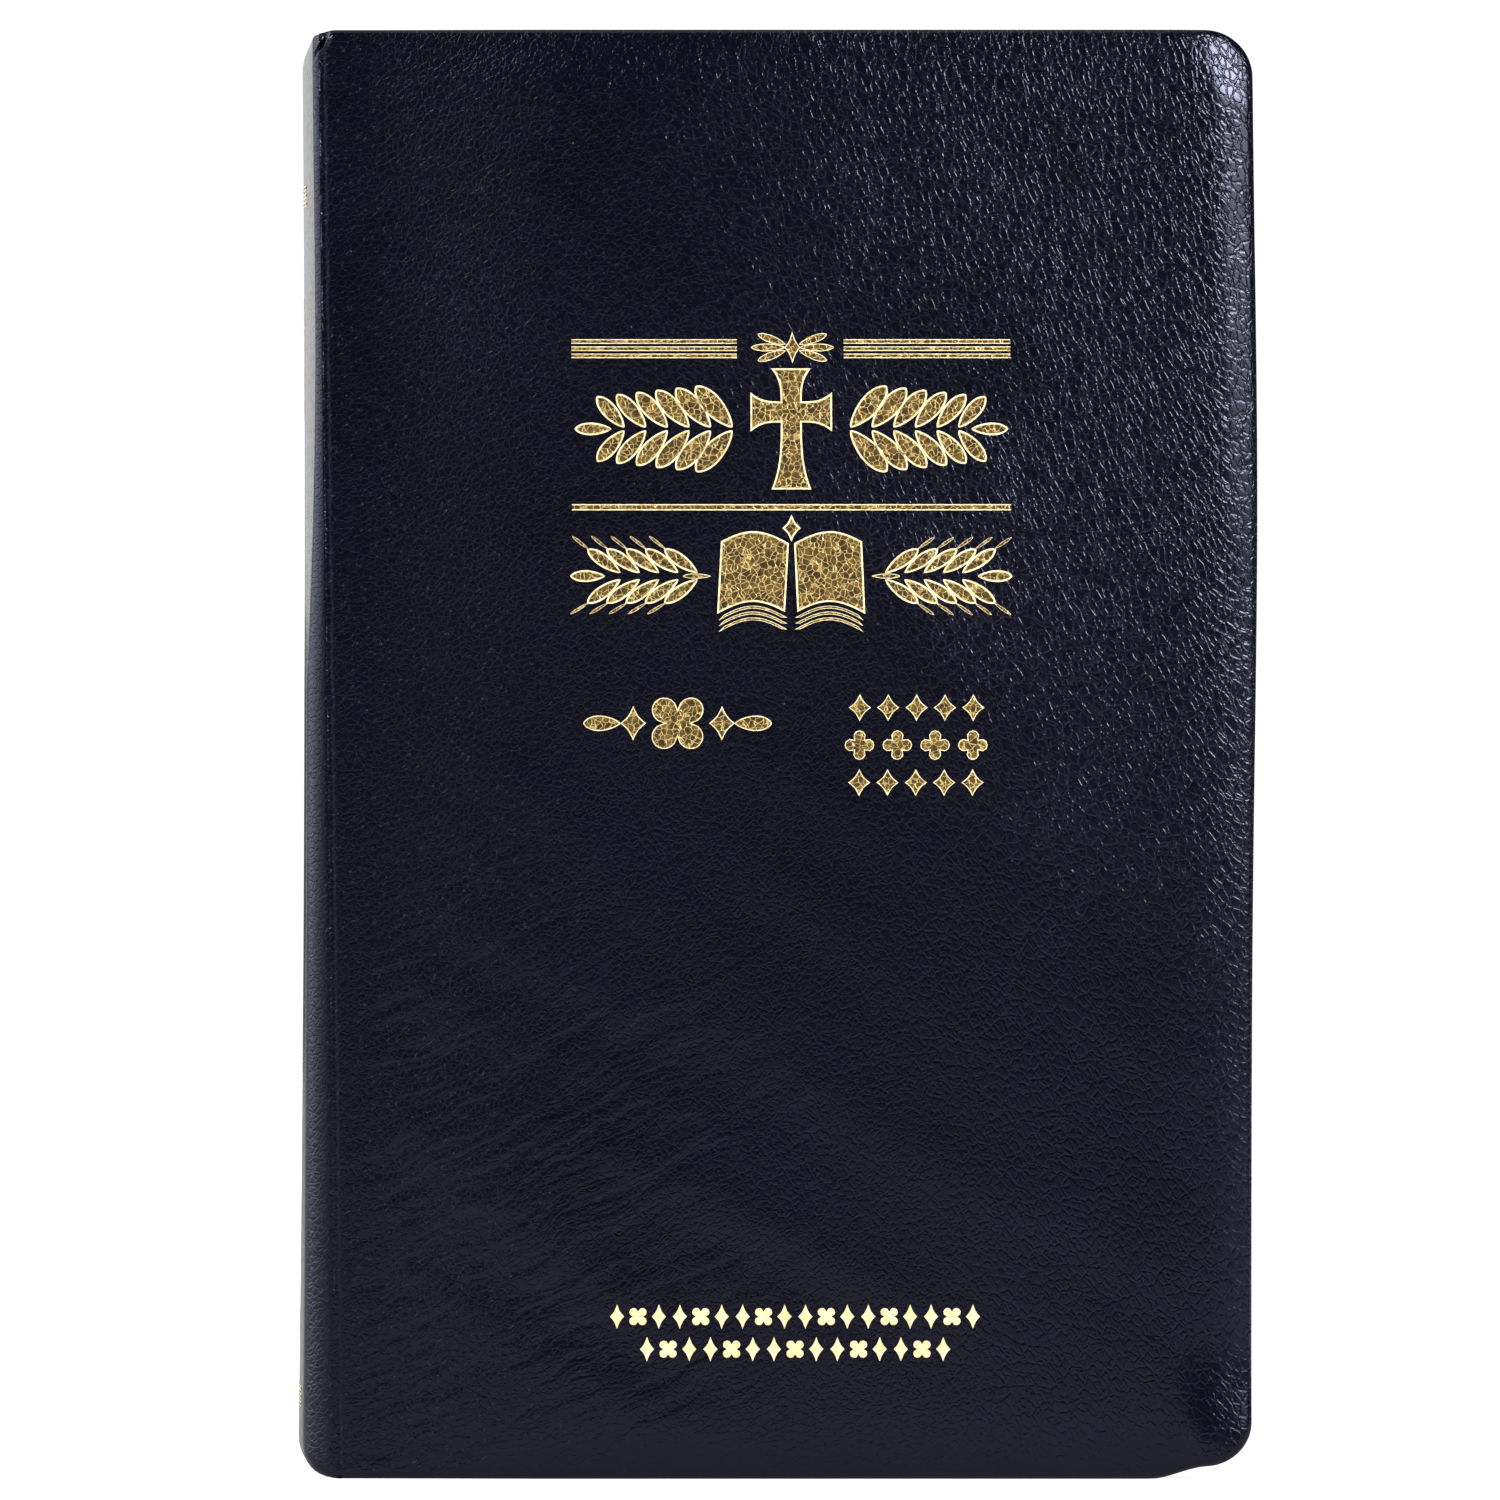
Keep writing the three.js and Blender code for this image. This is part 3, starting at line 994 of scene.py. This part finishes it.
def mirrored(turn, towards):
    """A turn on the right side of an ornament, or the same turn on its left side."""
    return turn if towards > 0 else math.pi - turn


def leaf(length, width):
    """A pointed leaf along X from its stalk."""
    def outline(t):
        angle = 2 * math.pi * t
        along = (1 - math.cos(angle)) / 2
        across = math.sin(angle) * (1 - 0.35 * along)
        return length * (1 - along), width / 2 * across * abs(math.sin(angle)) ** 0.35
    return outline


def lozenge(width, height, hollow=0.82):
    """A diamond with slightly hollow sides."""
    def outline(t):
        quarter = (t * 4) % 1.0
        turn = math.pi / 2 * math.floor(t * 4 + 1e-9)
        a, b = 1 - quarter, quarter
        drawn_in = 1 - (1 - hollow) * 4 * a * b
        a, b = a * drawn_in, b * drawn_in
        cosine, sine = math.cos(turn), math.sin(turn)
        return width / 2 * (a * cosine - b * sine), height / 2 * (a * sine + b * cosine)
    return outline


def quatrefoil(outer, inner):
    """Four rounded petals, the first along X."""
    def outline(t):
        angle = 2 * math.pi * t
        reach = mix(inner, outer, abs(math.cos(2 * angle)) ** 0.7)
        return reach * math.cos(angle), reach * math.sin(angle)
    return outline


def flared_cross(reaches, waist, tip):
    """A cross with spreading arms: how far it reaches right, up, left and down, and how wide
    an arm is at the middle and at its tip."""
    def side_of_arm(reach, share):
        along = mix(waist / 2, reach, share)
        return along, mix(waist, tip, share ** 3) / 2

    def outline(t):
        arm = math.floor(t * 4 + 1e-9)
        share = t * 4 - arm
        if share <= 0.5:
            along, across = side_of_arm(reaches[arm], clip((0.5 - share) / 0.4))
            across *= clip(share / 0.1)
        else:
            across, along = side_of_arm(reaches[(arm + 1) % 4], clip((share - 0.5) / 0.4))
            along *= clip((1 - share) / 0.1)
        turn = arm * math.pi / 2
        cosine, sine = math.cos(turn), math.sin(turn)
        return along * cosine - across * sine, along * sine + across * cosine
    return outline


def strip(x0, x1, z, thickness):
    """A plain rule whose edges are painted bright gold as a painted highlight, and enough cross
    lines to follow the cover.
    """
    count = max(2, round(abs(x1 - x0) / 1.5))
    bpy.ops.mesh.primitive_grid_add(
        x_subdivisions=count, y_subdivisions=3, size=1, rotation=(math.pi / 2, 0, 0)
    )
    piece = named("rule")
    for vertex in piece.data.vertices:
        up = math.copysign(0.5 if abs(vertex.co.z) > 0.3 else 0.33, vertex.co.z)
        vertex.co = (mix(x0, x1, vertex.co.x + 0.5), 0, z + thickness * up)
    # The edge faces take the painted highlight gold.
    for face in piece.data.polygons:
        middle = sum(piece.data.vertices[i].co.z for i in face.vertices) / 4
        face.material_index = 1 if abs(middle - z) > 0.25 * thickness else 0
    return give(piece, FOIL, GOLD_EDGE_HIGHLIGHT)


def joined(name, pieces):
    bpy.ops.object.select_all(action="DESELECT")
    for piece in pieces:
        piece.select_set(True)
    bpy.context.view_layer.objects.active = pieces[0]
    bpy.ops.object.join()
    piece = bpy.context.object
    piece.name = name
    piece.data.name = name
    return piece


def press(name, pieces, finishes=None, body="front_cover", placing=on_face):
    """Join an ornament's shapes, give the foil its thickness and lay it on the leather."""
    piece = joined(name, pieces)
    for vertex in piece.data.vertices:
        vertex.co.y = -FOIL_LIFT
    apply_modifier(piece, "SOLIDIFY", thickness=FOIL_THICKNESS, offset=-1, use_rim=True)
    lay(piece, placing)
    give(piece, *(finishes or (FOIL, GOLD_EDGE_HIGHLIGHT)))
    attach(piece, body)
    return piece


# Lines of the stamped panel, in the book's own x and z
PANEL_LEFT, PANEL_RIGHT = -33.6, 37.5
PANEL_MIDDLE = (PANEL_LEFT + PANEL_RIGHT) / 2
TOP_RULES_Z = 184.0
RULE_GAP = 1.17                   # between the lines of a triple rule
UPPER_ROW = (161.1, 180.8)
MIDDLE_RULE_Z = 158.2
LOWER_ROW = (137.0, 157.0)
SMALL_LEFT = (-31.5, -1.2, 117.9, 128.2)
SMALL_RIGHT = (11.0, 33.8, 111.1, 127.9)
TAIL_ROWS = ((-26.8, 33.5, 26.5), (-21.9, 28.7, 21.2))

# Triple rules across the spine
SPINE_RULES_Z = (209.8, 12.6)
SPINE_RULE_GAP = 1.3


def top_rules():
    """A triple rule on each side of the fleuron."""
    left_end, right_start = -6.8, 10.5
    pieces = []
    for k in (-1, 0, 1):
        z = TOP_RULES_Z + RULE_GAP * k
        pieces.append(strip(PANEL_LEFT, left_end, z, 0.72))
        pieces.append(strip(right_start, PANEL_RIGHT, z, 0.72))
    press("foil_top_rules", pieces)


def fleuron():
    """The small ornament between the top rules: a lozenge with two curling leaves."""
    x, z = 2.2, TOP_RULES_Z + 0.2
    pieces = [stamp(lozenge(2.6, 5.2), 24, x, z, rim=0.14)]
    for side in (-1, 1):
        for lift, length, turn in ((0.5, 4.8, 0.35), (-0.5, 4.8, -0.35), (0, 5.6, 0)):
            angle = mirrored(turn, side)
            pieces.append(stamp(leaf(length, 1.5), 28, x + side * 1.1, z + lift, angle, 0.12))
    press("foil_fleuron", pieces)


def cross(x, z, height, width, stroke):
    """A plain Latin cross. x and z are where its arms meet."""
    upper = height * 0.36
    reaches = (width / 2, upper, width / 2, height - upper)
    return stamp(flared_cross(reaches, stroke, stroke * 1.9), 80, x, z, cuts=2)


def spray(x, z, reach, towards, leaf_length, leaf_width):
    """A branch of paired leaves running out from x to a single leaf at its tip."""
    pieces = []
    count = 6
    for k in range(count):
        share = (k + 0.1) / count
        stem_x = x + towards * reach * share
        size = mix(1.0, 0.7, share)
        for up in (-1, 1):
            outline = leaf(leaf_length * size, leaf_width * size)
            turn = mirrored(up * 0.85, towards)
            pieces.append(stamp(outline, 32, stem_x, z + up * 0.25, turn))
    tip = leaf(leaf_length * 0.66, leaf_width * 0.62)
    pieces.append(stamp(tip, 32, x + towards * reach * 0.95, z, mirrored(0, towards)))
    return pieces


def upper_ornament():
    """A cross between two olive branches."""
    low, high = UPPER_ROW
    middle = (low + high) / 2
    pieces = [cross(PANEL_MIDDLE, low + (high - low) * 0.64, high - low, 13.2, 3.4)]
    for towards in (-1, 1):
        start = PANEL_MIDDLE + towards * 9.2
        pieces += spray(start, middle, 21.0, towards, 9.0, 4.0)
    press("foil_upper_ornament", pieces)


def open_book(x, z, width, height):
    """An open book seen from the front: two pages that rise from the gutter and fall, with
    the edges of three more under each."""
    line_height, line_gap = 0.45, 0.95

    def page(towards, gutter, reach, page_height):
        def outline(t):
            along, level = (2 * t, 0.5) if t < 0.5 else (2 - 2 * t, -0.5)
            curl = height * 0.17 * math.sin(math.pi * along)
            across = towards * width / 2 * (gutter + reach * along)
            return across, page_height * level + curl
        return outline

    pieces = []
    for towards in (-1, 1):
        pieces.append(stamp(page(towards, 0.035, 0.965, height), 40, x, z, cuts=3))
        for k in range(3):
            line_z = z - height / 2 - 0.85 - line_gap * k
            line = page(towards, 0.05, 0.93, line_height)
            pieces.append(stamp(line, 24, x, line_z, rim=0.08))
    return pieces


def lower_ornament():
    """An open book between two ears of wheat."""
    low, high = LOWER_ROW
    middle = (low + high) / 2
    pieces = open_book(PANEL_MIDDLE, middle - 0.4, 24, 11.5)
    pieces.append(stamp(lozenge(3.0, 4.4), 24, PANEL_MIDDLE, high - 2.2))
    for towards in (-1, 1):
        pieces += wheat_ear(PANEL_MIDDLE + towards * 14.2, middle, 15.6, towards)
    press("foil_lower_ornament", pieces)


def wheat_ear(x, z, reach, towards):
    """Paired grains along a stalk, each with a fine beard, and one grain at the tip."""
    pieces = []
    count = 5
    for k in range(count):
        stem_x = x + towards * (1.0 + reach * k / count)
        for up in (-1, 1):
            turn = mirrored(up * 0.62, towards)
            pieces.append(stamp(leaf(6.6, 2.5), 28, stem_x, z + up * 0.55, turn))
            beard_x = stem_x + towards * 5.2
            beard_z = z + up * 4.4
            pieces.append(stamp(leaf(3.4, 0.6), 12, beard_x, beard_z, turn * 0.98, rim=0.05))
    turn = mirrored(0, towards)
    pieces.append(stamp(leaf(5.6, 2.3), 28, x + towards * (reach + 0.4), z, turn))
    pieces.append(stamp(leaf(4.6, 1.0), 20, x - towards * 1.2, z, turn, rim=0.1))
    return pieces


def middle_rule():
    press("foil_middle_rule", [strip(PANEL_LEFT, PANEL_RIGHT, MIDDLE_RULE_Z, 1.0)])


def small_ornaments():
    """A quatrefoil between lozenges and leaves, and a panel of three rows of beads."""
    x0, x1, z0, z1 = SMALL_LEFT
    x, z = (x0 + x1) / 2, (z0 + z1) / 2
    pieces = [stamp(quatrefoil(5.1, 2.2), 48, x, z, math.pi / 4, 0.16)]
    for towards in (-1, 1):
        pieces.append(stamp(lozenge(4.2, 5.6), 24, x + towards * 7.2, z, rim=0.16))
        turn = mirrored(0, towards)
        pieces.append(stamp(leaf(6.0, 3.0), 28, x + towards * 9.3, z, turn, 0.16))
    press("foil_quatrefoil", pieces)
    x0, x1, z0, z1 = SMALL_RIGHT
    pieces = []
    for row, count in ((0, 5), (1, 4), (2, 5)):
        row_z = mix(z1 - 2.3, z0 + 2.3, row / 2)
        for k in range(count):
            bead_x = mix(x0 + 2.2, x1 - 2.2, k / (count - 1))
            shape = lozenge(3.6, 4.4) if row != 1 else quatrefoil(2.4, 1.2)
            pieces.append(stamp(shape, 24, bead_x, row_z, 0, 0.14))
    press("foil_bead_panel", pieces)


def tail_rows():
    """Two rows of lozenges, with a quatrefoil after every second one."""
    pieces = []
    for x0, x1, z in TAIL_ROWS:
        count = round((x1 - x0) / 3.35)
        for k in range(count):
            x = mix(x0 + 1.3, x1 - 1.3, k / (count - 1))
            if k % 3 == 1:
                pieces.append(stamp(quatrefoil(1.7, 0.8), 24, x, z, math.pi / 4, 0.1))
            else:
                pieces.append(stamp(lozenge(2.3, 4.0), 16, x, z, 0, 0.1))
    press("foil_tail_rows", pieces, (PALE_FOIL, PALE_FOIL))


def on_spine(x, depth, z, side=FRONT):
    """A point of an ornament drawn across the spine: x runs from the spine's middle."""
    place = on_case(abs(x) - SPINE_HALF, depth, z, side)
    place.y = math.copysign(place.y, x)
    return place


def spine_stamps():
    """Plain rules near the head and tail of the spine, and a small cross between."""
    pieces = []
    for z in SPINE_RULES_Z:
        for k in (-1, 0, 1):
            pieces.append(strip(-13, 13, z + SPINE_RULE_GAP * k, 0.75))
    pieces.append(cross(0, 186, 20, 12.5, 3.0))
    for k in range(3):
        pieces.append(stamp(lozenge(3.2, 5.0), 24, (k - 1) * 5.4, 24, rim=0.14))
    press("foil_spine_stamps", pieces, None, "spine", on_spine)


# ---------------------------------------------------------------- end bands
def end_band(node):
    """A silk band wound round a core: rounded wraps, by turns gold and navy."""
    low, high = (in_mm(corner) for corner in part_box(node))
    radius = (high.z - low.z) / 2
    centre_z = (low.z + high.z) / 2
    half_length = high.y - 0.02
    round_x = high.x - low.x - 2 * radius
    wraps, per_wrap = 66, 4
    bpy.ops.mesh.primitive_cylinder_add(
        vertices=12, radius=1, depth=2, end_fill_type="NGON", rotation=(math.pi / 2, 0, 0)
    )
    piece = named(f"{node.replace('_band', '')}_silk_band")
    bpy.ops.object.mode_set(mode="EDIT")
    for k in range(1, wraps * per_wrap):
        bpy.ops.mesh.select_all(action="SELECT")
        y = -1 + 2 * k / (wraps * per_wrap)
        bpy.ops.mesh.bisect(plane_co=(0, y, 0), plane_no=(0, 1, 0))
    bpy.ops.object.mode_set(mode="OBJECT")
    for vertex in piece.data.vertices:
        share = vertex.co.y
        ring = Vector((vertex.co.x, 0, vertex.co.z))
        bulge = abs(math.sin(math.pi * wraps * (share + 1) / 2))
        size = radius * (0.86 + 0.14 * bulge)
        angle = share * math.pi / 2
        path = Vector((
            high.x - radius - round_x * math.cos(angle), half_length * math.sin(angle), centre_z,
        ))
        vertex.co = (path + ring * size) * MM
    for face in piece.data.polygons:
        y = sum(piece.data.vertices[i].co.y for i in face.vertices) / len(face.vertices)
        share = math.asin(clip(y / MM / half_length, -1, 1)) / (math.pi / 2)
        face.material_index = int((share + 1) / 2 * wraps / 2) % 2
    piece.data.update()
    return smooth(piece, 60)


# ---------------------------------------------------------------- camera, lights, floor
def camera():
    """Square on to the front cover, from far enough to look flat."""
    frame_height = 244.3
    distance = 2400
    middle_x, middle_z = -4.6, 118.7
    data = bpy.data.cameras.new("camera")
    data.sensor_width = 36
    data.clip_end = 20
    eye = bpy.data.objects.new("camera", data)
    bpy.context.scene.collection.objects.link(eye)
    data.lens = data.sensor_width * distance / frame_height
    eye.location = Vector((middle_x, -HALF - distance, middle_z)) * MM
    eye.rotation_euler = (math.pi / 2, 0, 0)
    bpy.context.scene.camera = eye


def soft_light(name, place, target, size, power):
    data = bpy.data.lights.new(name, "AREA")
    data.shape = "RECTANGLE"
    data.size, data.size_y = size
    data.energy = power
    lamp = bpy.data.objects.new(name, data)
    bpy.context.scene.collection.objects.link(lamp)
    lamp.location = place
    direction = Vector(target) - Vector(place)
    lamp.rotation_euler = direction.to_track_quat("-Z", "Y").to_euler()


def room():
    """A room with a pale wall to the left, and dark in front, behind and above, where the
    gloss of the covers looks. The wall is dimmer towards the back of the room."""
    made = bpy.data.worlds.new("studio")
    made.use_nodes = True
    bpy.context.scene.world = made
    nodes = Nodes(made.node_tree)
    x, y, _ = nodes.parts(nodes.node("ShaderNodeTexCoord").outputs["Generated"])
    on_left = (0 - x).between(0.15, 0.45)
    wall = ((y + 1) * 0.5) ** 0.7 * (1 - y.between(-0.1, 0.7) * 0.92)
    light = on_left * wall * 8.5 + 0.04
    seen = Value(nodes, nodes.node("ShaderNodeLightPath").outputs["Is Camera Ray"])
    strength = seen * 1.05 + (1 - seen) * light
    background = made.node_tree.nodes["Background"]
    background.inputs["Color"].default_value = (1, 1, 1, 1)
    nodes.feed(background.inputs["Strength"], strength)


def studio():
    room()
    bpy.ops.mesh.primitive_plane_add(size=6)
    floor = named("floor")
    give(floor, floor_finish())
    head = (0.02, 0, 0.2)
    soft_light("right_panel", (0.75, -0.5, 0.41), (0.07, 0, 0.2), (0.55, 0.42), 5)
    soft_light("upper_right", (0.62, -0.5, 0.48), head, (0.34, 0.22), 8)
    soft_light("upper_left", (-0.5, -0.9, 0.7), head, (0.16, 0.16), 1.3)
    soft_light("behind_left", (-0.45, 0.9, 0.33), (-0.07, 0, 0.2), (0.6, 0.36), 0.6)
    soft_light("overhead", (0, 0.1, 1.4), (0, 0, 0), (0.9, 0.9), 2)
    bpy.context.scene.view_settings.view_transform = "Standard"


# ---------------------------------------------------------------- the book
camera()
LEATHER_FINISH = leather_finish()
FOIL = foil_finish()
# The stamps' edges: a painted highlight.
GOLD_EDGE_HIGHLIGHT = foil_rim_highlight_finish()
PALE_FOIL = pale_foil_finish()
GILT = gilt_finish()
PAPER = printed_leaf_finish()
ENDPAPER = endpaper_finish()
CARD = fibre_board_finish("grey_card", (0.42, 0.39, 0.33, 1), (0.26, 0.24, 0.20, 1))


def bind_covers():
    for side in (FRONT, BACK):
        name = SIDE_NAMES[side]
        skin = give(case_leather(side), LEATHER_FINISH)
        (JOINT_X - 2.6) * MM
        (JOINT_X + 3.0) * MM
        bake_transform(skin)
        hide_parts(f"{name}_cover_leather", *(["spine_leather"] if side == FRONT else []))
        card = give(board(side), CARD)
        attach(card, f"{name}_cover")
        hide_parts(f"{name}_cover_board")
        paper = give(pastedown(side), ENDPAPER)
        JOINT_X * MM
        (JOINT_X + 3.6) * MM
        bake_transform(paper)
        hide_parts(f"{name}_pastedown")
        fly = flyleaf(side)
        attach(fly, f"{name}_flyleaf")
        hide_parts(f"{name}_flyleaf")


def bind_leaves():
    shares = {c["joint"]: c["ratio"] for c in frame["record"]["behaviour"]["couplings"]}
    for node in SECTIONS:
        piece, depth = section_leaves(node)
        angle = OPEN_ANGLE * shares[f"{node}_turn"]
        bend = 1.5 + 2 * depth * math.tan(angle / 2)
        (SHOULDER_LINE + bend) * MM
        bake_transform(piece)
        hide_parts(node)


def finish_hidden_pieces():
    nodes = frame["nodes"]
    kraft = fibre_board_finish("kraft_paper", (0.46, 0.30, 0.16, 1), (0.32, 0.19, 0.09, 1))
    linen = thread_finish("linen_thread", (0.88, 0.85, 0.76, 1), (0.5, 0.46, 0.38, 1))
    give(nodes["spine_inlay"], CARD)
    give(nodes["hollow_tube"], kraft)
    give(nodes["mull"], scrim_finish())
    give(nodes["sewn_folds"], fold_finish())
    for name in nodes:
        if name.startswith("sewing_thread"):
            give(nodes[name], linen)


def bind_end_bands():
    gold = thread_finish("gold_silk", (0.62, 0.42, 0.12, 1), (0.34, 0.2, 0.05, 1))
    navy = thread_finish("navy_silk", (0.05, 0.06, 0.16, 1), (0.015, 0.02, 0.06, 1))
    for node in ("head_band", "tail_band"):
        piece = give(end_band(node), gold, navy)
        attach(piece, "spine")
        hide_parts(node)


bind_covers()
bind_leaves()
bind_end_bands()
finish_hidden_pieces()
top_rules()
fleuron()
upper_ornament()
middle_rule()
lower_ornament()
small_ornaments()
tail_rows()
spine_stamps()
studio()
